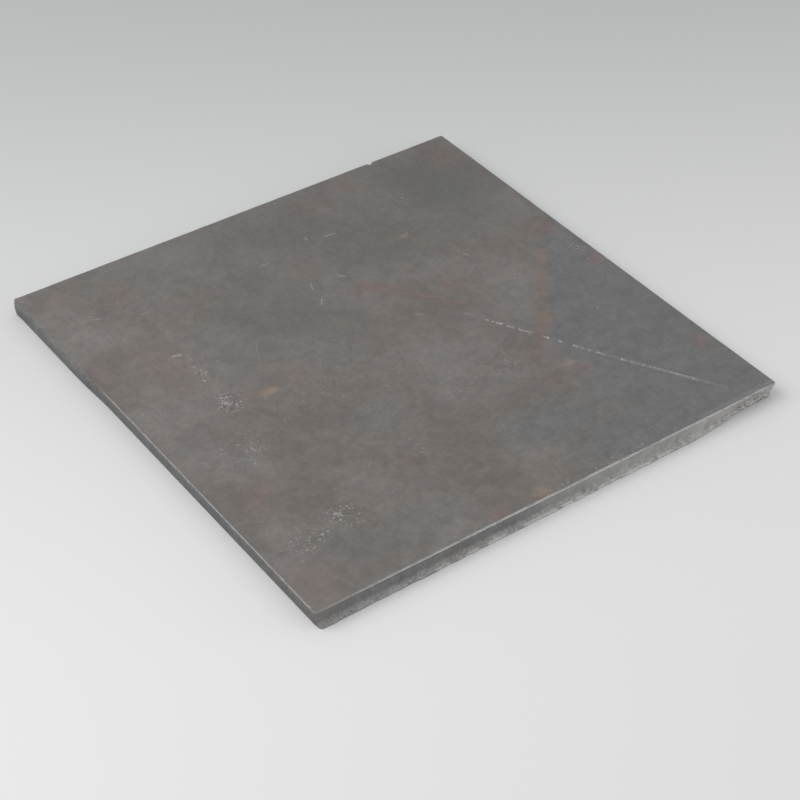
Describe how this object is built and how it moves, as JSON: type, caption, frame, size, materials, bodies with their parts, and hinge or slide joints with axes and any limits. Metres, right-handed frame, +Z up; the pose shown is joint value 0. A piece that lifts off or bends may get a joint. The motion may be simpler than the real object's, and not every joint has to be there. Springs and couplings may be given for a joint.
{
  "type": "steel plate",
  "caption": "Square blank of hot-rolled steel plate with sheared edges, its faces under mill scale with light rust, handling scratches and scuffs.",
  "frame": {"origin": "centre of the plate's lower face, on the surface it lies on", "axes": "+Z up through the thickness; X and Y along the sheared sides, -Y towards the near right-hand edge in the picture and -X towards the near left-hand edge"},
  "size_m": [0.3, 0.3, 0.01],
  "materials": {
    "mill_scale": "hot-rolled mill scale, satin to matt, with light rust, scratches and bright sheared edges"
  },
  "bodies": {
    "root": {"plate": "mill_scale"}
  },
  "joints": []
}
